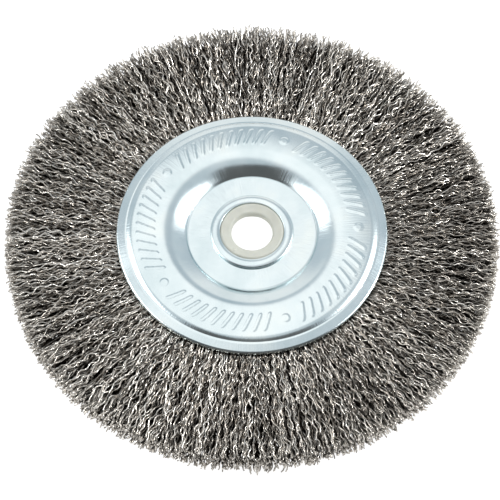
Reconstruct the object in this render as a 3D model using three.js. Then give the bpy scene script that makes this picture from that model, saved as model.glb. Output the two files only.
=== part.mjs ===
// Crimped-wire wheel brush for a bench grinder, lying flat, in millimetres.
// The wheel's axis is +Z and the origin is at the middle of the wheel. The front faces +Z.
// Two stamped side plates clamp wires that are doubled over a hoop. A sleeve rolled over at
// both ends holds the plates together round a spacer, and a nylon bushing reduces its bore.
import * as THREE from 'three';

// Wheel and bores
const WHEEL_RADIUS = 76.2; // a 6 in wheel
const ARBOR_RADIUS = 6.35; // for a 1/2 in arbor
const TRIM_HALF_WIDTH = 5.6; // of the brush at its outside
const GAP = 0.3; // left between solids that touch

// Side plates, heights measured from the wheel's middle plane
const SHEET = 0.9;
const RIM_RADIUS = 41.9;
const RIM_HEIGHT = 4.0;
const EDGE_ROLL = 0.7; // rounding of the rim's edge
const BAND_RADIUS = 39.1; // inner edge of the conical rim band
const BAND_HEIGHT = 4.95;
const VALLEY_RADIUS = 38.5; // where the shoulder comes down to the band
const SHOULDER_RADIUS = 36.6;
const SHOULDER_HEIGHT = 5.83;
const LAND_RADIUS = 31.0; // outer edge of the flat top of the raised ring
const CREST_RADIUS = 28.0; // inner edge of it, where the slope starts
const CREST_HEIGHT = 6.4;
const RECESS_RADIUS = 19.9;
const RECESS_HEIGHT = 2.9;

// Hub sleeve and its rolled collars
const SLEEVE_BORE = 9.9;
const SLEEVE_WALL = 0.9;
const COLLAR_RADIUS = 12.7;
const COLLAR_HEIGHT = 4.2;
const COLLAR_ROLL = 0.8; // rounding of a collar's two top edges

// Hoop that the wires are doubled over
const HOOP_RADIUS = 29.0;
const HOOP_WIRE_RADIUS = 1.9;

// Reducing bushing
const BUSHING_RADIUS = SLEEVE_BORE - GAP;
const BUSHING_BEVEL = 1.0;
const BUSHING_TOP = 4.0;
const BUSHING_LENGTH = 6.0;
const BUSHING_WEB = 2.6; // thickness of the part that sits on the arbor
const BUSHING_CORE_RADIUS = 8.2; // of the hollow behind the web

// Wire bundles
const BUNDLES = 24;
const BUNDLE_INNER_RADIUS = 25.0;

// Facets round the axis, a whole number to each wire bundle
const ROUND_STEPS = 2 * BUNDLES;

const ZINC = { color: 0xdfe8ec, roughness: 0.32, metalness: 1.0 };
const STEEL = { color: 0xb9bdc0, roughness: 0.38, metalness: 1.0 };
const WIRE = { color: 0x79746e, roughness: 0.42, metalness: 1.0 };
const NYLON = { color: 0xe3e4da, roughness: 0.5, metalness: 0.0 };

const wheel = new THREE.Group();

function addPart(name, geometry, finish) {
  const mesh = new THREE.Mesh(geometry, new THREE.MeshStandardMaterial(finish));
  mesh.name = name;
  wheel.add(mesh);
}

// A point of a section: distance from the axis, height.
function at(radius, height) {
  return new THREE.Vector2(radius, height);
}

// A ring with its axis on Z. The outline runs counter-clockwise, radius across and height up.
function turned(outline) {
  const closed = [...outline, outline[0].clone()];
  const ring = new THREE.LatheGeometry(closed, ROUND_STEPS);
  return ring.rotateX(Math.PI / 2);
}

// Points on an arc of a section, angles in degrees from the outward direction.
function arc(radius, height, size, from, to, steps) {
  const points = [];
  for (let i = 0; i <= steps; i += 1) {
    const angle = THREE.MathUtils.degToRad(from + ((to - from) * i) / steps);
    points.push(at(radius + size * Math.cos(angle), height + size * Math.sin(angle)));
  }
  return points;
}

// The dished slope from the recess up to the raised ring, as a quarter of a sine wave.
function slope(drop, steps) {
  const points = [];
  for (let i = 0; i <= steps; i += 1) {
    const share = i / steps;
    const radius = THREE.MathUtils.lerp(RECESS_RADIUS, CREST_RADIUS, share);
    const rise = Math.sin((Math.PI / 2) * share);
    points.push(at(radius, THREE.MathUtils.lerp(RECESS_HEIGHT, CREST_HEIGHT, rise) - drop));
  }
  return points;
}

// One pressed side plate, front side up: inner face outwards, then outer face inwards.
function sidePlateOutline() {
  const hole = SLEEVE_BORE + SLEEVE_WALL + GAP;
  const inner = [
    at(hole, RECESS_HEIGHT - SHEET),
    ...slope(SHEET, 5),
    at(LAND_RADIUS, CREST_HEIGHT - SHEET),
    at(SHOULDER_RADIUS - 0.5, SHOULDER_HEIGHT - SHEET),
    at(VALLEY_RADIUS - 0.2, BAND_HEIGHT - SHEET),
    at(RIM_RADIUS - 0.3, RIM_HEIGHT - SHEET),
  ];
  const outer = [
    at(RIM_RADIUS, RIM_HEIGHT - SHEET / 2),
    at(RIM_RADIUS - EDGE_ROLL, RIM_HEIGHT + 0.2),
    at(BAND_RADIUS, BAND_HEIGHT),
    at(VALLEY_RADIUS, BAND_HEIGHT + 0.05),
    at(SHOULDER_RADIUS + 1.1, SHOULDER_HEIGHT - 0.3),
    at(SHOULDER_RADIUS, SHOULDER_HEIGHT),
    at(LAND_RADIUS, CREST_HEIGHT),
    ...slope(0, 5).reverse(),
    at(hole, RECESS_HEIGHT),
  ];
  return [...inner, ...outer];
}

function sidePlates() {
  const front = turned(sidePlateOutline());
  addPart('front_side_plate', front, ZINC);
  addPart('back_side_plate', front.clone().rotateX(Math.PI), ZINC);
}

// The upper half of the sleeve, from the bore's middle up, over the collar and down outside.
function hubSleeve() {
  const outside = SLEEVE_BORE + SLEEVE_WALL;
  const underside = RECESS_HEIGHT + GAP;
  const collarEdge = COLLAR_RADIUS - COLLAR_ROLL;
  const collarInside = SLEEVE_BORE + COLLAR_ROLL;
  const rollHeight = COLLAR_HEIGHT - COLLAR_ROLL;
  const upper = [
    at(outside, underside),
    at(COLLAR_RADIUS, underside),
    ...arc(collarEdge, rollHeight, COLLAR_ROLL, 0, 90, 3),
    ...arc(collarInside, rollHeight, COLLAR_ROLL, 90, 180, 3),
  ];
  const lower = upper.map((point) => at(point.x, -point.y)).reverse();
  addPart('hub_sleeve', turned([...upper, ...lower]), STEEL);
}

// The ring that keeps the plates' centres apart when the sleeve is rolled over.
function hubSpacer() {
  const bore = SLEEVE_BORE + SLEEVE_WALL + GAP;
  const outside = RECESS_RADIUS - 1.4;
  const half = RECESS_HEIGHT - SHEET - GAP;
  const outline = [at(bore, -half), at(outside, -half), at(outside, half), at(bore, half)];
  addPart('hub_spacer', turned(outline), STEEL);
}

function retainingHoop() {
  const section = arc(HOOP_RADIUS, 0, HOOP_WIRE_RADIUS, 0, 324, 9);
  addPart('retaining_hoop', turned(section), STEEL);
}

// A flanged nylon ring, hollow behind the web that fits the arbor.
function reducingBushing() {
  const bottom = BUSHING_TOP - BUSHING_LENGTH;
  const webBottom = BUSHING_TOP - BUSHING_WEB;
  const outline = [
    at(ARBOR_RADIUS, webBottom),
    at(BUSHING_CORE_RADIUS, webBottom),
    at(BUSHING_CORE_RADIUS, bottom),
    at(BUSHING_RADIUS - 0.3, bottom),
    at(BUSHING_RADIUS, bottom + 0.3),
    at(BUSHING_RADIUS, BUSHING_TOP - BUSHING_BEVEL),
    at(BUSHING_RADIUS - BUSHING_BEVEL, BUSHING_TOP),
    at(ARBOR_RADIUS, BUSHING_TOP),
  ];
  addPart('reducing_bushing', turned(outline), NYLON);
}

// Half the section of a wire bundle, from its folded inner end to its trimmed tips.
function bundleHalf() {
  const pinch = RIM_HEIGHT - SHEET - GAP; // half height where the rims clamp the wires
  const under = SHEET + 0.45; // from the outside of a plate down to the wires
  return [
    at(BUNDLE_INNER_RADIUS, 1.8),
    at(BUNDLE_INNER_RADIUS + 1.6, 3.9),
    at(LAND_RADIUS - 0.5, CREST_HEIGHT - under),
    at(SHOULDER_RADIUS - 0.8, SHOULDER_HEIGHT - under),
    at(VALLEY_RADIUS - 0.5, BAND_HEIGHT - under),
    at(RIM_RADIUS - 0.3, pinch),
    at(RIM_RADIUS + 1.2, pinch + 0.1),
    at(WHEEL_RADIUS, TRIM_HALF_WIDTH),
  ];
}

// A bundle's solid: its section, with the hole that the hoop runs through, swept about Z.
// The straight extrusion is bent: x becomes the radius, y the height and z the angle.
function bundleGeometry() {
  const upper = bundleHalf();
  const lower = upper.map((point) => at(point.x, -point.y));
  const section = new THREE.Shape([...lower, ...upper.reverse()]);
  section.holes.push(new THREE.Path(arc(HOOP_RADIUS, 0, HOOP_WIRE_RADIUS + GAP, 0, -315, 7)));
  const solid = new THREE.ExtrudeGeometry(section, { depth: 2, steps: 2, bevelEnabled: false });
  const places = solid.getAttribute('position');
  for (let i = 0; i < places.count; i += 1) {
    const radius = places.getX(i);
    const halfAngle = Math.PI / BUNDLES - GAP / 2 / radius;
    const angle = (1 - places.getZ(i)) * halfAngle;
    places.setXYZ(i, radius * Math.cos(angle), radius * Math.sin(angle), places.getY(i));
  }
  return solid;
}

function wireBundles() {
  for (let i = 0; i < BUNDLES; i += 1) {
    const turn = ((i + 0.5) * 2 * Math.PI) / BUNDLES;
    const name = `wire_bundle_${String(i + 1).padStart(2, '0')}`;
    addPart(name, bundleGeometry().rotateZ(turn), WIRE);
  }
}

sidePlates();
hubSleeve();
hubSpacer();
retainingHoop();
reducingBushing();
wireBundles();

export default wheel;
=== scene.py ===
import math

import bpy
import numpy as np
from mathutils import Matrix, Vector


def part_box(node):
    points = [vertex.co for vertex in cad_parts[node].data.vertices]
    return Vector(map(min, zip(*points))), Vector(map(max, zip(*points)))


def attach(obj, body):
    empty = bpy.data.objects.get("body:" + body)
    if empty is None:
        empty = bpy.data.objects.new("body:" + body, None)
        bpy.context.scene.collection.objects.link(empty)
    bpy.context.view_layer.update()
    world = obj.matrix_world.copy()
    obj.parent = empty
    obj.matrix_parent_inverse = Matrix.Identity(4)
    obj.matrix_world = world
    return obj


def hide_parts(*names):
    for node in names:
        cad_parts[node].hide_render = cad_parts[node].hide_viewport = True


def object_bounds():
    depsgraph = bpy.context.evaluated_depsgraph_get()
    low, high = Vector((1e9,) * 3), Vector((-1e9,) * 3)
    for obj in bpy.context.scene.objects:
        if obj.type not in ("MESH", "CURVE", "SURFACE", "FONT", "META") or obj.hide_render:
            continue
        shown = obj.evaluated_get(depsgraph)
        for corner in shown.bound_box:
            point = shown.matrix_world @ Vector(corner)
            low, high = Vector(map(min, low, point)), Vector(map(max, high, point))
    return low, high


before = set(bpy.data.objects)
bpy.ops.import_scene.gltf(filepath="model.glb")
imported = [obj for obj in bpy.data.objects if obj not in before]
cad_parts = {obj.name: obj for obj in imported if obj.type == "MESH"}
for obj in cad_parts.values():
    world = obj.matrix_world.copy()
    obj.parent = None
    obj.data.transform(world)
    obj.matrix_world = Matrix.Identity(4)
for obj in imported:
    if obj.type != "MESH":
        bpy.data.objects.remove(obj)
cad_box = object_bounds()

# ---------------------------------------------------------------------------------------------
# Retaining hoop
# A ring of round steel bar between the side plates. Every wire is doubled over it, and that is
# what keeps the wires in at speed. It is bent, butt welded and left as drawn, under a little oil.
# ---------------------------------------------------------------------------------------------

MM = 0.001


def mesh_piece(name, points, faces, flat=False):
    """A piece in the scene from an array of points in metres and a list of faces."""
    mesh = bpy.data.meshes.new(name)
    mesh.from_pydata(points, [], faces, shade_flat=flat)
    piece = bpy.data.objects.new(name, mesh)
    bpy.context.scene.collection.objects.link(piece)
    return piece


def held(outline, hold=0.06, least=0.7):
    """An outline with two more points on each straight stretch that is longer than least, a hold
    from its ends, so that smooth shading keeps the stretch flat and bends only at its corners."""
    step = np.roll(outline, -1, axis=0) - outline
    length = np.hypot(step[:, 0], step[:, 1])
    hold_step = step * (hold / length)[:, None]
    points = np.stack([outline, outline + hold_step, outline + step - hold_step], axis=1)
    keep = np.stack([length > 0, length > least, length > least], axis=1)
    return points[keep]


def turned(name, outline, around, lift=None):
    """A ring about Z. The outline is an (n, 2) array of radius and height in millimetres that runs
    counter-clockwise and closes on itself. Point (i, j) is outline point i at angle j, where angle
    j is j full turns / around. lift(radius, height, angle) is added to the height. The ring's UV
    map holds, in metres, the distance along the outline and the distance round the ring, measured
    at the outline's mean radius."""
    outline = held(outline)
    count = len(outline)
    angle = np.arange(around) * 2 * np.pi / around
    radius = np.repeat(outline[:, :1], around, axis=1)
    height = np.repeat(outline[:, 1:], around, axis=1)
    if lift is not None:
        height = height + lift(radius, height, angle[None, :])
    points = np.stack([radius * np.cos(angle), radius * np.sin(angle), height], axis=-1)
    i, j = np.meshgrid(np.arange(count), np.arange(around), indexing="ij")
    next_i, next_j = (i + 1) % count, (j + 1) % around
    corners = [(i, j), (i, next_j), (next_i, next_j), (next_i, j)]
    faces = np.stack([a * around + b for a, b in corners], axis=-1).reshape(-1, 4)
    piece = mesh_piece(name, points.reshape(-1, 3) * MM, faces.tolist())
    steps = np.roll(outline, -1, axis=0) - outline
    along = np.concatenate([[0], np.cumsum(np.hypot(steps[:, 0], steps[:, 1]))])
    round_step = 2 * np.pi * outline[:, 0].mean() / around
    u = np.stack([along[i], along[i], along[i + 1], along[i + 1]], axis=-1)
    v = np.stack([j, j + 1, j + 1, j], axis=-1) * round_step
    layer = piece.data.uv_layers.new(name="Round")
    layer.data.foreach_set("uv", (np.stack([u, v], axis=-1) * MM).astype(np.float32).ravel())
    return piece


def arc(radius, height, size, start, end, steps):
    """Points of a round stretch of an outline, from angle start to angle end in degrees."""
    angle = np.radians(np.linspace(start, end, steps + 1))
    return np.stack([radius + size * np.cos(angle), height + size * np.sin(angle)], axis=-1)


def linear(colour):
    """An sRGB colour such as "#c8d0d4" as linear red, green, blue and an alpha of one. Each channel
    is value / 12.92 below 0.04045, and ((value + 0.055) / 1.055) to the power 2.4 above it."""
    value = np.array([int(colour[i : i + 2], 16) for i in (1, 3, 5)]) / 255
    curved = np.where(value <= 0.04045, value / 12.92, ((value + 0.055) / 1.055) ** 2.4)
    return (*curved, 1.0)


def grey(value):
    """A linear grey with an alpha of one."""
    return (value, value, value, 1.0)


def add_node(owner, kind, inputs=None, output=None, stops=(), **settings):
    """Adds a node to a material or world and returns one of its outputs, the one named or else the
    first in use. Settings are the node's properties. Inputs gives its sockets, by name or place, a
    value or the output that is linked to it. A name means the socket that the settings switch on.
    Stops are the positions and linear colours of a colour ramp."""
    tree = owner.node_tree
    node = tree.nodes.new(kind)
    for name, value in settings.items():
        setattr(node, name, value)
    for index, (place, colour) in enumerate(stops):
        points = node.color_ramp.elements
        stop = points[index] if index < 2 else points.new(place)
        stop.position = place
        stop.color = colour
    in_use = {socket.name: socket for socket in reversed(node.inputs) if socket.enabled}
    for name, value in (inputs or {}).items():
        socket = node.inputs[name] if isinstance(name, int) else in_use[name]
        if isinstance(value, bpy.types.NodeSocket):
            tree.links.new(value, socket)
        else:
            socket.default_value = value
    if output is not None:
        return node.outputs[output]
    return next((socket for socket in node.outputs if socket.enabled), None)


def new_material(name):
    """An empty material. surface() gives it its shader and output."""
    material = bpy.data.materials.new(name)
    material.use_nodes = True
    material.node_tree.nodes.clear()
    return material


def surface(material, inputs):
    """Ends a material in a Principled shader with these inputs."""
    shader = add_node(material, "ShaderNodeBsdfPrincipled", inputs)
    add_node(material, "ShaderNodeOutputMaterial", {"Surface": shader})
    return material


def finish_piece(piece, body, material, node):
    """Gives a piece its material and its body, and hides the CAD node that it stands for."""
    piece.data.materials.append(material)
    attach(piece, body)
    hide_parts(node)


def drawn_steel():
    """Cold drawn low carbon steel bar: a grey metal, darker and duller in patches where the drawing
    soap and oil stayed on."""
    material = new_material("cold drawn steel")
    place = add_node(material, "ShaderNodeTexCoord", output="Object")
    # Patches are about 7 mm across.
    patches = add_node(material, "ShaderNodeTexNoise",
                       {"Vector": place, "Scale": 0.14 / MM, "Detail": 5.0})
    tint = add_node(material, "ShaderNodeValToRGB", {"Fac": patches},
                    stops=[(0.35, linear("#7d7f80")), (0.65, linear("#a3a6a8"))])
    rough = add_node(material, "ShaderNodeValToRGB", {"Fac": patches},
                     stops=[(0.3, grey(0.5)), (0.7, grey(0.32))])
    return surface(material, {"Base Color": tint, "Metallic": 1.0, "Roughness": rough})


hoop_low, hoop_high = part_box("retaining_hoop")
HOOP_BAR = (hoop_high.z - hoop_low.z) / 2 / MM + 0.05  # radius, for a bar that has no facets
HOOP_RADIUS = hoop_high.x / MM - HOOP_BAR

bar_steel = drawn_steel()
hoop = turned("retaining_hoop_bar", arc(HOOP_RADIUS, 0, HOOP_BAR, 0, 345, 23), 180)
finish_piece(hoop, "wheel", bar_steel, "retaining_hoop")

# ---------------------------------------------------------------------------------------------
# Wires
# Oil tempered steel wire, crimped between gears into waves and cut to length. Each wire is doubled
# over the hoop, and both its legs run out between the plates to the trimmed tips.
# ---------------------------------------------------------------------------------------------

WIRE_SIZE = 0.42  # mm across
BUNDLES = 24
CLUMPS = 14  # round each bundle
LAYERS = 3  # of clumps in each half of the brush's width
CLUMP_WIRES = 3
RIM_RADIUS = 41.9  # where the plates' rims let the wires go
TRIM_RADIUS = cad_box[1][0] / MM
PINCH = 2.7  # half the wires' width at the rim
TRIM = 5.4  # half the brush's width at its tips
HALF_WAVE = 2.1  # mm, from one corner of the crimp to the next
CRIMP = 0.62  # mm, from the wire's line to where its corners would be if they were sharp
CORNER_CUT = 0.22  # of a half wave, between a corner and the points that round it off
CRIMP_END = 1.2  # mm inside the rim, where the crimp ends at the soonest
CRIMP_END_SPREAD = 1.6
TIP_SHORT = 0.5  # mm, usual distance of a tip inside the wheel's radius
TIP_PAST = 0.5  # mm, greatest distance of a tip outside it
SWAY_WAVE = 16  # mm, of the slow bend to one side and the other
DIVE = 0.5  # mm, least height of the weave through the neighbours, which is at most twice that
DIVE_WAVE = 8  # mm, shortest wave of that weave
DIVE_WAVE_SPREAD = 6
SIDE_FREE = (-1.5, 2.0)  # mm past the rim, where a wire starts to bend to the sides and is free to
UP_FREE = 3.0  # mm past the rim, where the plates no longer hold a wire down
CROSSING = 0.4  # mm, how far a leg may stray past the middle plane
TRIM_PAST = 0.9  # mm, how far it may stand out of the brush's width
PLATE_LEGS = (36.5, 32.2)  # mm, radii of a leg's last two points, between the plates
FOLD_START = 0.25  # mm, from the hoop to the middle of the first layer of wires round it
FOLD_LAYER = 0.42  # mm, from one layer to the next
FOLD_LAYERS = 6
FOLD_STRAY = 0.1  # mm, how far a wire may lie out of its layer
FOLD_BEND = (90, 125, 180, 235, 270)  # degrees, of the points round the hoop
BAR_CORNER = 0.6  # of a wire's thickness, from its line to a corner of its section
TIPS = 0.85  # share of the reach past which a wire counts as near the outside

draw = np.random.default_rng(6)


def smooth(value):
    """0 below 0, 1 above 1, and 3 v^2 - 2 v^3 between them."""
    value = np.clip(value, 0, 1)
    return value * value * (3 - 2 * value)


def clumped(spread, own):
    """A random number for every wire of a bundle: its clump's, with this spread, plus its own."""
    shared = draw.normal(0, spread, (CLUMPS, LAYERS, 1))
    return shared + draw.normal(0, own, (CLUMPS, LAYERS, CLUMP_WIRES))


def leg(side, angle, fold):
    """The line of every leg on one side of the middle plane, as points from the tip in to the top
    of the fold. The leg leaves the rim at its angle, leans a little, and bends to the sides as a
    sine. It fans out from the pinch at the rim to the trimmed width, and weaves up and down through
    its neighbours as another sine. Its crimp is a zigzag of corners a half wave apart, to one side
    and the other in a random plane. Two points round off each corner, and the wire is straight
    between them. Sines and crimp grow from nothing where the wire leaves the rim. The spreads of
    the random draws are in degrees for lean, in radians for plane, shares for first and height,
    and otherwise millimetres."""
    lean = np.tan(np.radians(clumped(1.5, 3.5)))
    trimmed = TRIM_RADIUS - TIP_SHORT + clumped(0.45, 0.15) - draw.exponential(0.15, angle.shape)
    trimmed = np.minimum(trimmed, TRIM_RADIUS + TIP_PAST)
    layer = (np.arange(LAYERS)[None, :, None] + draw.random(angle.shape)) / LAYERS
    first = 0.25 + 0.5 * draw.random((CLUMPS, LAYERS, 1)) + draw.normal(0, 0.07, angle.shape)
    first = np.clip(first, CORNER_CUT + 0.05, 0.95 - CORNER_CUT)[..., None]
    way_out = draw.choice([-1, 1], (CLUMPS, LAYERS, 1)) * draw.choice([1, 1, 1, 1, -1], angle.shape)
    plane = draw.normal(0, 0.9, (CLUMPS, LAYERS, 1)) + draw.normal(0, 0.4, angle.shape)
    height = way_out * CRIMP * (1 + clumped(0.1, 0.1))
    sway = clumped(0.5, 0.25)
    sway_phase = draw.random(angle.shape) * 2 * np.pi
    rise = clumped(0.15, 0.2)
    dive = DIVE * (1 + draw.random(angle.shape))
    dive_wave = DIVE_WAVE + DIVE_WAVE_SPREAD * draw.random(angle.shape)
    dive_phase = draw.random(angle.shape) * 2 * np.pi

    crimped = TRIM_RADIUS - RIM_RADIUS + CRIMP_END + CRIMP_END_SPREAD / 2
    corners = round(crimped / HALF_WAVE)
    corner = first + np.arange(corners)
    way = np.stack([corner - CORNER_CUT, corner + CORNER_CUT], axis=-1).reshape(*angle.shape, -1)
    ends = np.zeros((*angle.shape, 1))
    way = np.concatenate([ends, way, ends + corners], axis=-1)
    last = RIM_RADIUS - CRIMP_END - CRIMP_END_SPREAD * draw.random(angle.shape)
    radius = trimmed[..., None] + (last - trimmed)[..., None] * way / corners
    nearest = np.round(way - first)
    zigzag = (1 - 2 * np.abs(way - first - nearest)) * (1 - 2 * (nearest % 2))
    inside = np.broadcast_to(PLATE_LEGS, (*angle.shape, 2))
    radius = np.concatenate([radius, inside], axis=-1)
    zigzag = np.concatenate([zigzag, inside * 0], axis=-1)

    past_rim = radius - RIM_RADIUS
    free = smooth((past_rim - SIDE_FREE[0]) / (SIDE_FREE[1] - SIDE_FREE[0]))
    out = np.clip(past_rim, 0, None) / (TRIM_RADIUS - RIM_RADIUS)
    rising = smooth(past_rim / UP_FREE)
    crimp = height[..., None] * zigzag
    bend = sway[..., None] * free * np.sin(2 * np.pi * radius / SWAY_WAVE + sway_phase[..., None])
    across = np.clip(past_rim, 0, None) * lean[..., None] + bend
    across = across + crimp * free * np.cos(plane[..., None])
    half = PINCH + (TRIM - PINCH) * out
    inner = smooth((RIM_RADIUS - radius) / (RIM_RADIUS - HOOP_RADIUS))
    up = layer[..., None] * half * (1 - inner) + fold[..., None] * inner
    weave = np.sin(2 * np.pi * radius / dive_wave[..., None] + dive_phase[..., None])
    up = up + rising * (dive[..., None] * weave + crimp * np.sin(plane[..., None]))
    up = up + rise[..., None] * out
    up = np.clip(up, -CROSSING, TRIM + TRIM_PAST) * side
    cos, sin = np.cos(angle)[..., None], np.sin(angle)[..., None]
    return np.stack([radius * cos - across * sin, radius * sin + across * cos, up], axis=-1)


def doubled_wires(bundle):
    """The lines of a bundle's wires, an array of wires by points by three. Each is one leg inwards,
    a half circle round the hoop, and another leg outwards."""
    place = np.arange(CLUMPS)[:, None, None] + 0.5 + clumped(0.15, 0.3)
    angle = (bundle + place / CLUMPS) * 2 * np.pi / BUNDLES
    fold = HOOP_BAR + FOLD_START + FOLD_LAYER * draw.integers(0, FOLD_LAYERS, angle.shape)
    fold = fold + FOLD_STRAY * draw.random(angle.shape)
    front = leg(1, angle, fold)
    back = leg(-1, angle, fold)
    bend = np.radians(FOLD_BEND)
    radius = HOOP_RADIUS + fold[..., None] * np.cos(bend)
    up = fold[..., None] * np.sin(bend)
    cos, sin = np.cos(angle)[..., None], np.sin(angle)[..., None]
    hooked = np.stack([radius * cos, radius * sin, up], axis=-1)
    line = np.concatenate([front, hooked, back[..., ::-1, :]], axis=-2)
    return line.reshape(-1, line.shape[-2], 3)


def wire_mesh(name, line):
    """Wires as three-sided bars with closed ends. At each point of a line the section lies across
    the direction from the point before to the point after, with its corners in three directions
    round the line. Point attribute wire_tone is a random number for each wire. wire_reach is how
    far out a point is, from 0 at the rim to 1 at the trim. wire_open is how near it is to the
    outside of the brush: its height as a share of half the brush's width there, or a smooth step
    over the tips if that is more."""
    wires, count = line.shape[:2]
    along = np.gradient(line, axis=1)
    along /= np.linalg.norm(along, axis=-1, keepdims=True)
    middle = line.mean(axis=1, keepdims=True) * [1, 1, 0]
    beside = np.cross([0, 0, 1.0], middle / np.linalg.norm(middle, axis=-1, keepdims=True))
    first = np.cross(along, beside)
    first /= np.linalg.norm(first, axis=-1, keepdims=True)
    second = np.cross(along, first)
    angle = np.arange(3) * 2 * np.pi / 3 + np.pi / 6
    corners = (line[:, :, None] + BAR_CORNER * WIRE_SIZE * (
        np.cos(angle)[:, None] * first[:, :, None] + np.sin(angle)[:, None] * second[:, :, None]))
    w, p, k = np.meshgrid(np.arange(wires), np.arange(count - 1), np.arange(3), indexing="ij")
    start = (w * count + p) * 3
    sides = np.stack([start + k, start + (k + 1) % 3, start + 3 + (k + 1) % 3, start + 3 + k], axis=-1)
    first_end = np.arange(wires)[:, None] * count * 3 + np.array([2, 1, 0])
    last_end = first_end[:, ::-1] + (count - 1) * 3
    faces = sides.reshape(-1, 4).tolist() + first_end.tolist() + last_end.tolist()
    piece = mesh_piece(name, corners.reshape(-1, 3) * MM, faces)
    tone = np.repeat(draw.random(wires), count * 3)
    reach = np.hypot(corners[..., 0], corners[..., 1]).ravel()
    reach = np.clip((reach - RIM_RADIUS) / (TRIM_RADIUS - RIM_RADIUS), 0, 1)
    half = PINCH + (TRIM - PINCH) * reach
    opened = np.maximum(np.abs(corners[..., 2].ravel()) / half, smooth((reach - TIPS) / (1 - TIPS)))
    for title, values in (("wire_tone", tone), ("wire_reach", reach), ("wire_open", opened)):
        attribute = piece.data.attributes.new(title, "FLOAT", "POINT")
        attribute.data.foreach_set("value", values.astype(np.float32))
    return piece


def tempered_wire():
    """Oil tempered steel wire: drawn bright, then hardened in oil, which leaves a thin warm grey
    oxide. It is a metal with a brown cast, some wires lighter than others, scuffed bright here and
    there by the crimping gears, and brighter towards the tips. The tips are partly brighter where
    they were trimmed and ground, and partly painted light for the white floor that shows round
    them. Wires deep in the brush, away from its outside, are darkened with painted shade that
    stands in for the shade their neighbours cast."""
    material = new_material("oil tempered steel wire")
    tone = add_node(material, "ShaderNodeAttribute", output="Fac", attribute_name="wire_tone")
    reach = add_node(material, "ShaderNodeAttribute", output="Fac", attribute_name="wire_reach")
    opened = add_node(material, "ShaderNodeAttribute", output="Fac", attribute_name="wire_open")
    place = add_node(material, "ShaderNodeTexCoord", output="Object")
    # Scuffs are 1 to 2 mm long, about a third of a wave of the crimp.
    scuffs = add_node(material, "ShaderNodeTexNoise",
                      {"Vector": place, "Scale": 0.7 / MM, "Detail": 2.0})
    oxide = add_node(material, "ShaderNodeValToRGB", {"Fac": tone},
                     stops=[(0.0, linear("#46403a")), (0.35, linear("#90887e")),
                            (0.65, linear("#d6cec4")), (1.0, linear("#f6f2eb"))])
    scuffed = add_node(material, "ShaderNodeValToRGB", {"Fac": scuffs},
                       stops=[(0.45, grey(0.0)), (0.7, grey(1.0))])
    tint = add_node(material, "ShaderNodeMix",
                    {"Factor": scuffed, "A": oxide, "B": linear("#efeae2")}, data_type="RGBA")
    # Painted light, partly: the outer quarter of each wire is mixed towards a pale grey for the white
    # floor's light round the tips, as well as for their grinding.
    ground_and_painted_tip_light = add_node(material, "ShaderNodeValToRGB", {"Fac": reach},
                      stops=[(0.75, grey(0.0)), (1.0, grey(0.45))])
    tint = add_node(material, "ShaderNodeMix",
                    {"Factor": ground_and_painted_tip_light, "A": tint, "B": linear("#e6e1d9")}, data_type="RGBA")
    # Painted shade: wires away from the outside of the brush are darkened, in place of the shade that
    # their neighbours cast on them.
    painted_depth_shade = add_node(material, "ShaderNodeValToRGB", {"Fac": opened},
                   stops=[(0.35, linear("#4b4641")), (0.95, grey(1.0))])
    tint = add_node(material, "ShaderNodeMix", {"Factor": 1.0, "A": tint, "B": painted_depth_shade},
                    data_type="RGBA", blend_type="MULTIPLY")
    rough = add_node(material, "ShaderNodeValToRGB", {"Fac": scuffs},
                     stops=[(0.35, grey(0.31)), (0.7, grey(0.19))])
    return surface(material, {"Base Color": tint, "Metallic": 1.0, "Roughness": rough})


wire_steel = tempered_wire()
for number in range(BUNDLES):
    bundle = wire_mesh(f"wires_{number + 1:02d}", doubled_wires(number))
    finish_piece(bundle, "wheel", wire_steel, f"wire_bundle_{number + 1:02d}")

# ---------------------------------------------------------------------------------------------
# Hub spacer
# A turned steel ring that the recessed middles of the plates bear on, so that rolling the sleeve
# over can't press them together. It shows only if the wheel is taken apart.
# ---------------------------------------------------------------------------------------------


def rounded(corners, steps=4):
    """An outline with its corners rounded. Each corner is radius, height and size of rounding, and
    becomes an arc that touches both of its sides: its centre lies on the corner's bisector, and it
    starts and ends a distance size / tan(half the corner's angle) from the corner. A corner with no
    size, or almost straight, stays a single point."""
    points = []
    count = len(corners)
    for index, (radius, height, size) in enumerate(corners):
        here = np.array([radius, height])
        before = np.array(corners[index - 1][:2]) - here
        after = np.array(corners[(index + 1) % count][:2]) - here
        before, after = before / np.linalg.norm(before), after / np.linalg.norm(after)
        half = math.acos(np.clip(before @ after, -1, 1)) / 2
        if size == 0 or half > math.pi / 2 - 0.01:
            points.append(here[None])
            continue
        inward = (before + after) / np.linalg.norm(before + after)
        centre = here + inward * size / math.sin(half)
        from_centre = here + before * size / math.tan(half) - centre
        to_centre = here + after * size / math.tan(half) - centre
        share = np.linspace(0, 1, steps + 1)[:, None]
        spread = math.pi - 2 * half
        swung = np.sin((1 - share) * spread) * from_centre + np.sin(share * spread) * to_centre
        points.append(centre + swung / math.sin(spread))
    return np.concatenate(points)


spacer_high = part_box("hub_spacer")[1]
sleeve_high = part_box("hub_sleeve")[1]
SLEEVE_BORE = 9.9  # mm
SLEEVE_WALL = 0.9
SPACER_EDGE = 0.3  # rounding
spacer_half = spacer_high.z / MM + 0.25  # nearly up to the plates
spacer_bore = SLEEVE_BORE + SLEEVE_WALL + 0.1
spacer_outside = spacer_high.x / MM
spacer = turned("hub_spacer_ring", rounded([
    (spacer_bore, -spacer_half, SPACER_EDGE), (spacer_outside, -spacer_half, SPACER_EDGE),
    (spacer_outside, spacer_half, SPACER_EDGE), (spacer_bore, spacer_half, SPACER_EDGE)]), 120)
finish_piece(spacer, "wheel", bar_steel, "hub_spacer")

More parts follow.
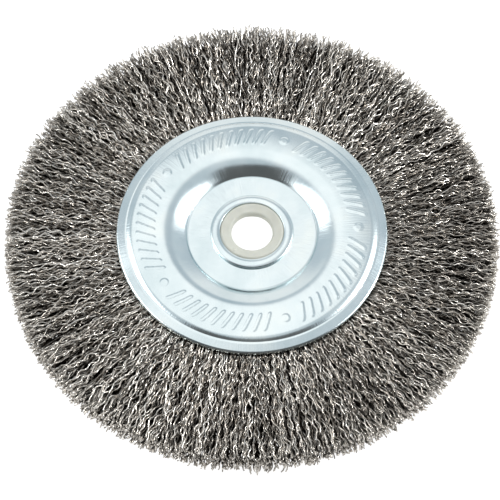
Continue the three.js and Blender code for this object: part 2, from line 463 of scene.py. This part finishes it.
# ---------------------------------------------------------------------------------------------
# Side plates
# Two equal discs of 0.9 mm sheet steel, blanked, drawn to a dished section, coined with a ring of
# raised marks and then zinc plated. Their rims grip the wires, and their middles take the sleeve.
# ---------------------------------------------------------------------------------------------

SHEET = 0.9  # mm
plate_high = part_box("front_side_plate")[1]
PLATE_RADIUS = plate_high.x / MM
CREST_HEIGHT = plate_high.z / MM
RIM_HEIGHT = 4.0
BAND_RADIUS = 39.1  # inner edge of the conical rim band
BAND_HEIGHT = 4.95
VALLEY_RADIUS = 38.5  # where the shoulder comes down to the band
VALLEY_SLOPE = 29  # degrees, of the shoulder there
SHOULDER_RADIUS = 36.6
SHOULDER_HEIGHT = 5.83
CREST_RADIUS = 28.0  # where the raised ring starts to slope down
RECESS_RADIUS = 19.9
RECESS_HEIGHT = 2.9
RECESS_STEP = 0.12  # up from the foot of the slope on to the coined recess
MARK_RADIUS = 32.7  # middle of the ring of raised marks
MARK_LENGTH = 4.6
MARK_WIDTH = 0.75  # from a bar's middle line to the foot of its side
MARK_HEIGHT = 0.16
MARK_SLANT = 24  # degrees
MARK_GROUPS = 5
GROUP_BARS = 11
GROUP_SHARE = 0.8  # of the way round that the groups of bars take
STUD_RADIUS = 1.5
STUD_SIDE = 0.5  # width of a stud's sloping side
SHOULDER_STEPS = 10
PLATE_STEPS = 750


def dished(drop, steps):
    """The slope from the recess up to the raised ring: a quarter of a sine wave, so that it is
    steep at the recess and runs level into the ring."""
    share = np.linspace(0, 1, steps + 1)
    radius = RECESS_RADIUS + (CREST_RADIUS - RECESS_RADIUS) * share
    height = RECESS_HEIGHT + (CREST_HEIGHT - RECESS_HEIGHT) * np.sin(np.pi / 2 * share)
    return np.stack([radius, height - drop], axis=-1)


def plate_outline():
    """The plate's section: the inner face outwards, the rim's edge, and the outer face inwards. The
    raised ring falls away from its crest as the square of the distance. Past the shoulder the slope
    still to be gained goes as the square of the way left to the valley, so it bends soon and then
    runs nearly straight. Its height is the sum of its falls. The rim band starts past the valley."""
    hole = SLEEVE_BORE + SLEEVE_WALL + 0.15
    recess_under = [[hole, RECESS_HEIGHT - SHEET], [RECESS_RADIUS + 0.6, RECESS_HEIGHT - SHEET]]
    shoulder_under = [[SHOULDER_RADIUS - 0.4, SHOULDER_HEIGHT - SHEET]]
    valley_under = (VALLEY_RADIUS - 0.3, BAND_HEIGHT - SHEET, 0.3)

    drop = CREST_HEIGHT - SHOULDER_HEIGHT
    start = math.atan(2 * drop / (SHOULDER_RADIUS - CREST_RADIUS))
    end = math.radians(VALLEY_SLOPE)
    share = np.linspace(0, 1, SHOULDER_STEPS + 1)
    slope = end - (end - start) * (1 - share) ** 2
    shoulder_step = (VALLEY_RADIUS - SHOULDER_RADIUS) / SHOULDER_STEPS
    falls = np.tan((slope[1:] + slope[:-1]) / 2) * shoulder_step
    shoulder = np.stack([SHOULDER_RADIUS + shoulder_step * np.arange(SHOULDER_STEPS + 1),
                         SHOULDER_HEIGHT - np.concatenate([[0], np.cumsum(falls)])], axis=-1)[::-1]
    valley = (VALLEY_RADIUS + 0.1, shoulder[0, 1] - 0.1 * math.tan(end), 0.4)
    rim = rounded([(*shoulder_under[0], 0), valley_under, (PLATE_RADIUS, RIM_HEIGHT - SHEET, 0.15),
                   (PLATE_RADIUS, RIM_HEIGHT, 0.9), (BAND_RADIUS, BAND_HEIGHT, 1.5), valley,
                   (*shoulder[1], 0)], 4)[1:-1]
    share = np.linspace(1, 0, 31)[1:]
    ring = np.stack([CREST_RADIUS + (SHOULDER_RADIUS - CREST_RADIUS) * share,
                     CREST_HEIGHT - drop * share ** 2], axis=-1)
    down = dished(0, 17)[::-1][1:-1]
    recess = rounded([(*down[-1], 0), (RECESS_RADIUS + 0.1, RECESS_HEIGHT - RECESS_STEP, 0.12),
                      (RECESS_RADIUS - 0.2, RECESS_HEIGHT, 0.12), (hole, RECESS_HEIGHT, 0)], 3)[1:]
    return np.concatenate([recess_under, dished(SHEET, 8)[2:], shoulder_under, rim, shoulder[1:],
                           ring, down, recess])


def raised_marks(radius, height, angle):
    """Height of the coined marks: slanted bars in five groups round the ring, with a round stud
    between groups. A bar is at full height for 0.4 of the way from its middle line to its foot, and
    then falls as a smooth step. The marks are only on the plate's outer face."""
    around = 2 * np.pi * MARK_RADIUS
    group_turn = angle / (2 * np.pi) * MARK_GROUPS
    place = group_turn - np.floor(group_turn)
    slant = (radius - MARK_RADIUS) * math.tan(math.radians(MARK_SLANT)) / around * MARK_GROUPS
    along = (place - (1 - GROUP_SHARE) / 2 + slant) / GROUP_SHARE * GROUP_BARS
    spacing = around * GROUP_SHARE / MARK_GROUPS / GROUP_BARS
    from_bar = np.abs(along - np.floor(along) - 0.5) * spacing
    past_end = np.maximum(np.abs(radius - MARK_RADIUS) - MARK_LENGTH / 2, 0)
    distance = np.hypot(from_bar, past_end)
    in_group = (along > 0) & (along < GROUP_BARS)
    bar = np.where(in_group, smooth((MARK_WIDTH - distance) / (MARK_WIDTH * 0.6)), 0)
    around_stud = (place - np.round(place)) * around / MARK_GROUPS
    stud = smooth((STUD_RADIUS - np.hypot(around_stud, radius - MARK_RADIUS)) / STUD_SIDE)
    outer = (height > SHOULDER_HEIGHT - 0.3) & (radius > CREST_RADIUS)
    return MARK_HEIGHT * outer * np.maximum(bar, stud)


def zinc_plate():
    """Bright zinc plate with a clear blue passivation on cold rolled sheet: a smooth, slightly blue
    white metal, clouded where the bath left it thicker, with faint draw lines down the slopes."""
    material = new_material("bright blue passivated zinc plate")
    place = add_node(material, "ShaderNodeTexCoord", output="Object")
    # Clouds are about 11 mm across. The sheet's grain is drawn 0.7 mm wide, coarser than it is, so
    # that it shows.
    clouds = add_node(material, "ShaderNodeTexNoise",
                      {"Vector": place, "Scale": 0.09 / MM, "Detail": 4.0})
    grain = add_node(material, "ShaderNodeTexNoise",
                     {"Vector": place, "Scale": 1.5 / MM, "Detail": 3.0})
    tint = add_node(material, "ShaderNodeValToRGB", {"Fac": clouds},
                    stops=[(0.3, linear("#d3e1e4")), (0.55, linear("#e2edef")),
                           (0.75, linear("#eaf2f1"))])
    rough = add_node(material, "ShaderNodeValToRGB", {"Fac": clouds},
                     stops=[(0.3, grey(0.11)), (0.7, grey(0.18))])
    # Draw lines are about 0.4 mm apart round the plate and 6 mm long down its slope.
    round_map = add_node(material, "ShaderNodeUVMap", uv_map="Round")
    drawn = add_node(material, "ShaderNodeMapping",
                     {"Vector": round_map, "Scale": (0.16 / MM, 2.5 / MM, 1.0)})
    lines = add_node(material, "ShaderNodeTexNoise", {"Vector": drawn, "Scale": 1.0, "Detail": 2.0})
    draw_bump = add_node(material, "ShaderNodeBump",
                         {"Height": lines, "Strength": 0.4, "Distance": 0.08 * MM})
    bump = add_node(material, "ShaderNodeBump", {"Height": grain, "Strength": 0.12,
                                                 "Distance": 0.04 * MM, "Normal": draw_bump})
    return surface(material, {"Base Color": tint, "Metallic": 1.0, "Roughness": rough,
                              "Normal": bump})


plated = zinc_plate()
front_plate = turned("front_plate", plate_outline(), PLATE_STEPS, raised_marks)
finish_piece(front_plate, "wheel", plated, "front_side_plate")
back_plate = turned("back_plate", plate_outline(), PLATE_STEPS, raised_marks)
# Half a turn about X, which leaves its faces pointing outwards
turn_over = np.array([1, -1, -1])
places = np.empty(len(back_plate.data.vertices) * 3, np.float32)
back_plate.data.vertices.foreach_get("co", places)
back_plate.data.vertices.foreach_set("co", (places.reshape(-1, 3) * turn_over).ravel())
back_plate.data.update()
finish_piece(back_plate, "wheel", plated, "back_side_plate")

# ---------------------------------------------------------------------------------------------
# Hub sleeve
# A steel tube through both plates, whose ends are rolled outwards and down into smooth collars
# that hold the wheel together. The grinder's flanges clamp on the collars.
# ---------------------------------------------------------------------------------------------

COLLAR_RADIUS = sleeve_high.x / MM + 0.15
COLLAR_TOP = 11.2  # radius of the highest point of the roll
COLLAR_FALL = 25  # degrees, of the roll's top where it meets its edges
OUTER_EDGE = 0.46  # rounding of the collar's edges
BORE_EDGE = 0.15


def sleeve_outline():
    """Half the tube's section with its rolled collar, and the same again turned over. The collar's
    outer edge is most of a circle that rests on the plate, its bore edge a smaller arc, and a broad
    arc runs from the top to each. A broad arc's size is the distance from the top to the edge's
    centre / cos(where they touch), plus the edge's size, and its centre is straight below the top."""
    outside = SLEEVE_BORE + SLEEVE_WALL
    underside = RECESS_HEIGHT + 0.02
    touch = 90 - COLLAR_FALL
    cos, sin = math.cos(math.radians(touch)), math.sin(math.radians(touch))
    outer = (COLLAR_RADIUS - OUTER_EDGE - COLLAR_TOP) / cos + OUTER_EDGE
    inner = (COLLAR_TOP - SLEEVE_BORE - BORE_EDGE) / cos + BORE_EDGE
    centre = underside + OUTER_EDGE - (outer - OUTER_EDGE) * sin
    top = centre + outer
    upper = np.concatenate([
        [[outside, underside]],
        arc(COLLAR_RADIUS - OUTER_EDGE, underside + OUTER_EDGE, OUTER_EDGE, -90, touch, 16),
        arc(COLLAR_TOP, centre, outer, touch, 90, 10)[1:],
        arc(COLLAR_TOP, top - inner, inner, 90, 180 - touch, 10)[1:],
        arc(SLEEVE_BORE + BORE_EDGE, top - inner + (inner - BORE_EDGE) * sin, BORE_EDGE,
            180 - touch, 180, 5)[1:]])
    return np.concatenate([upper, upper[::-1] * [1, -1]])


sleeve = turned("rolled_sleeve", sleeve_outline(), 240)
finish_piece(sleeve, "wheel", plated, "hub_sleeve")

# ---------------------------------------------------------------------------------------------
# Reducing bushing
# An off-white nylon ring pushed into the sleeve so that the wheel fits a half inch arbor. It is
# injection moulded, with a bevelled edge, a web that sits on the arbor and a hollow behind it.
# ---------------------------------------------------------------------------------------------

ARBOR_RADIUS = 6.35  # mm
bushing_low, bushing_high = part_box("reducing_bushing")
BUSHING_RADIUS = bushing_high.x / MM + 0.26
BUSHING_TOP = bushing_high.z / MM
BUSHING_BOTTOM = bushing_low.z / MM
WEB = 2.6  # thickness of the part that sits on the arbor
CORE_RADIUS = 8.2  # of the hollow behind the web
BEVEL_WIDTH = 0.45
BEVEL_HEIGHT = 0.55
FACE_RADIUS = 9.3  # where the face would reach the bushing's top
FACE_FALL = 0.25  # of the face, for each mm inwards of that
GATE_PLACE = (-5.3, -6.7)  # of the nib on the face
GATE_HEIGHT = 0.38
GATE_RADIUS = 0.75
GATE_SIDE = 0.45  # width of its sloping side


def bushing_outline():
    """The bushing's section, from the web's lower corner round by the skirt and the bevel to the
    face, which falls in a straight line towards the rounded edge of the arbor's hole."""
    web_bottom = BUSHING_TOP - WEB
    face = [(radius, BUSHING_TOP - FACE_FALL * (FACE_RADIUS - radius), 0)
            for radius in np.linspace(FACE_RADIUS - 0.2, 7.6, 9)]
    return rounded([
        (ARBOR_RADIUS, web_bottom, 0.25), (CORE_RADIUS, web_bottom, 0.3),
        (CORE_RADIUS, BUSHING_BOTTOM, 0.2), (BUSHING_RADIUS, BUSHING_BOTTOM, 0.3),
        (BUSHING_RADIUS, BUSHING_TOP - BEVEL_HEIGHT, 0.3),
        (BUSHING_RADIUS - BEVEL_WIDTH, BUSHING_TOP, 0.5), *face,
        (ARBOR_RADIUS, BUSHING_TOP - 0.6, 1.0)], 8)


def gate_mark(radius, height, angle):
    """Height of the nib that is left where the mould's gate was cut off: a round bump whose side
    is a smooth step of the distance from its middle."""
    distance = np.hypot(radius * np.cos(angle) - GATE_PLACE[0], radius * np.sin(angle) - GATE_PLACE[1])
    return GATE_HEIGHT * smooth((GATE_RADIUS - distance) / GATE_SIDE) * (height > BUSHING_TOP - 1)


def moulded_nylon():
    """Natural nylon 66, injection moulded and not coloured: a creamy off-white, slightly
    translucent plastic with a satin skin from a spark eroded mould."""
    material = new_material("natural moulded nylon")
    place = add_node(material, "ShaderNodeTexCoord", output="Object")
    # Clouds are about 5 mm across. The spark eroded texture is drawn 0.4 mm wide, coarser than it
    # is, so that it shows.
    clouds = add_node(material, "ShaderNodeTexNoise",
                      {"Vector": place, "Scale": 0.22 / MM, "Detail": 3.0})
    skin = add_node(material, "ShaderNodeTexNoise",
                    {"Vector": place, "Scale": 2.6 / MM, "Detail": 2.0})
    tint = add_node(material, "ShaderNodeValToRGB", {"Fac": clouds},
                    stops=[(0.3, linear("#bcbdb3")), (0.7, linear("#c7c8be"))])
    rough = add_node(material, "ShaderNodeValToRGB", {"Fac": clouds},
                     stops=[(0.3, grey(0.38)), (0.7, grey(0.5))])
    bump = add_node(material, "ShaderNodeBump",
                    {"Height": skin, "Strength": 0.2, "Distance": 0.04 * MM})
    return surface(material, {"Base Color": tint, "Roughness": rough, "IOR": 1.53,
                              "Subsurface Weight": 0.25, "Subsurface Scale": 1.5 * MM,
                              "Subsurface Radius": (1.0, 0.9, 0.7), "Normal": bump})


nylon = moulded_nylon()
bushing = turned("nylon_bushing", bushing_outline(), 200, gate_mark)
finish_piece(bushing, "bushing", nylon, "reducing_bushing")

# ---------------------------------------------------------------------------------------------
# Floor, light and camera
# A light table under a white tent, with bright boxes to the left and right, a dark gap on the side
# that the wheel is looked at from, and a brighter patch low on the far wall.
# ---------------------------------------------------------------------------------------------

FLOOR_SIZE = 3.0  # m


def light_table():
    """Opal acrylic lit from below: an even white glow, with a faint mottle in its matt skin."""
    material = new_material("opal acrylic light table")
    place = add_node(material, "ShaderNodeTexCoord", output="Object")
    # The mottle is about 80 mm across.
    mottle = add_node(material, "ShaderNodeTexNoise",
                      {"Vector": place, "Scale": 0.012 / MM, "Detail": 3.0})
    tint = add_node(material, "ShaderNodeValToRGB", {"Fac": mottle},
                    stops=[(0.3, grey(0.28)), (0.7, grey(0.32))])
    return surface(material, {"Base Color": tint, "Roughness": 0.7,
                              "Emission Color": grey(1.0), "Emission Strength": 0.95})


visual_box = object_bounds()
edge = FLOOR_SIZE / 2
rest = visual_box[0][2]
floor = mesh_piece("floor", np.array([(-edge, -edge, rest), (edge, -edge, rest), (edge, edge, rest),
                                      (-edge, edge, rest)]), [(0, 1, 2, 3)], flat=True)
floor.data.materials.append(light_table())


def aim(thing, place, target=(0, 0, 0)):
    """Puts a lamp or camera at a place and points it at a target, with its top upwards."""
    place, target = np.array(place, float), np.array(target, float)
    back = (place - target) / np.linalg.norm(place - target)
    right = np.cross([0, 0, 1], back)
    right /= np.linalg.norm(right)
    up = np.cross(back, right)
    matrix = np.eye(4)
    matrix[:3, :3] = np.stack([right, up, back], axis=1)
    matrix[:3, 3] = place
    thing.matrix_world = matrix.T.tolist()


def polar(distance, azimuth, elevation):
    """A place seen from the middle of the wheel, azimuth 0 on the -Y side and 90 on the +X side."""
    turn, lift = math.radians(azimuth), math.radians(elevation)
    flat = distance * math.cos(lift)
    return (flat * math.sin(turn), -flat * math.cos(turn), distance * math.sin(lift))


BOX_AZIMUTH = 91  # degrees, of the bright boxes to the left and right
BOX_LIFT = 33
LAMP_DISTANCE = 0.9  # m
LAMP_SIZE = (0.12, 0.2)  # m


def softbox(name, azimuth, watts):
    """A small rectangular lamp in front of one of the bright boxes."""
    lamp = bpy.data.lights.new(name, "AREA")
    lamp.shape = "RECTANGLE"
    lamp.size, lamp.size_y = LAMP_SIZE
    lamp.energy = watts
    holder = bpy.data.objects.new(name, lamp)
    bpy.context.scene.collection.objects.link(holder)
    aim(holder, polar(LAMP_DISTANCE, azimuth, BOX_LIFT))


softbox("left_key", -BOX_AZIMUTH, 1.8)
softbox("right_key", BOX_AZIMUTH, 4.2)


def cosine(degrees):
    """Cosine of an angle in degrees."""
    return math.cos(math.radians(degrees))


def sine(degrees):
    """Sine of an angle in degrees."""
    return math.sin(math.radians(degrees))


def covered(world, under, brightness, windows):
    """A colour with a grey patch of light laid over it where all the patch's windows are open. A
    window is a value, where on it the window starts to open and where it is fully open. Its edge is
    a smooth step, and the patch's cover is the product of its windows."""
    cover = 1.0
    for value, shut, opened in windows:
        window = add_node(world, "ShaderNodeMapRange",
                          {"Value": value, "From Min": shut, "From Max": opened},
                          interpolation_type="SMOOTHSTEP")
        cover = add_node(world, "ShaderNodeMath", {0: cover, 1: window}, operation="MULTIPLY")
    return add_node(world, "ShaderNodeMix", {"Factor": cover, "A": under, "B": grey(brightness)},
                    data_type="RGBA")


def tent():
    """The white tent as a world: pale walls, a dark gap in front, a brighter patch behind, a bright
    box on each side, and a round panel overhead. A patch has a window of azimuth, on the cosine of
    the angle between the level part of a direction and the patch's middle, and two of height, on
    the sine of a direction's elevation. Angles are in degrees."""
    world = bpy.data.worlds.new("tent")
    world.use_nodes = True
    world.node_tree.nodes.clear()
    toward = add_node(world, "ShaderNodeTexCoord", output="Generated")
    height = add_node(world, "ShaderNodeSeparateXYZ", {"Vector": toward}, output="Z")
    level = add_node(world, "ShaderNodeVectorMath", {0: toward, 1: (1, 1, 0)}, operation="MULTIPLY")
    level = add_node(world, "ShaderNodeVectorMath", {0: level}, operation="NORMALIZE")
    colour = add_node(world, "ShaderNodeValToRGB", {"Fac": height},
                      stops=[(0.0, linear("#bcc6cf")), (0.55, linear("#ccd5db")),
                             (0.7, linear("#bcc5cd")), (1.0, linear("#d6dce0"))])
    # Azimuth, how far from it the patch ends and is full, lowest and highest elevation, brightness
    for azimuth, end, full, low, high, brightness in ((0, 66, 46, -40, 63, 0.12),
                                                      (180, 36, 10, -12, 33, 0.95),
                                                      (-BOX_AZIMUTH, 33, 21, 23, 46, 2.5),
                                                      (BOX_AZIMUTH, 33, 21, 23, 46, 2.5)):
        sideways = add_node(world, "ShaderNodeVectorMath", {0: level, 1: polar(1, azimuth, 0)},
                            output="Value", operation="DOT_PRODUCT")
        colour = covered(world, colour, brightness, ((sideways, cosine(end), cosine(full)),
                                                     (height, sine(low - 3), sine(low + 3)),
                                                     (height, sine(high + 4), sine(high - 2))))
    overhead = add_node(world, "ShaderNodeVectorMath", {0: toward, 1: polar(1, -143, 72)},
                        output="Value", operation="DOT_PRODUCT")
    colour = covered(world, colour, 1.15, ((overhead, cosine(33), cosine(18)),))
    light = add_node(world, "ShaderNodeBackground", {"Color": colour, "Strength": 1.0})
    add_node(world, "ShaderNodeOutputWorld", {"Surface": light})
    return world


bpy.context.scene.world = tent()
bpy.context.scene.view_settings.view_transform = "Standard"

CAMERA_DISTANCE = 0.552  # m
CAMERA_LIFT = 61.05  # degrees
CAMERA_TARGET = (-0.0006, -0.0047, 0.0)  # m

camera = bpy.data.objects.new("camera", bpy.data.cameras.new("camera"))
bpy.context.scene.collection.objects.link(camera)
camera.data.lens = 128.2  # mm
camera.data.clip_start = 0.01
aim(camera, polar(CAMERA_DISTANCE, 0, CAMERA_LIFT), CAMERA_TARGET)
bpy.context.scene.camera = camera
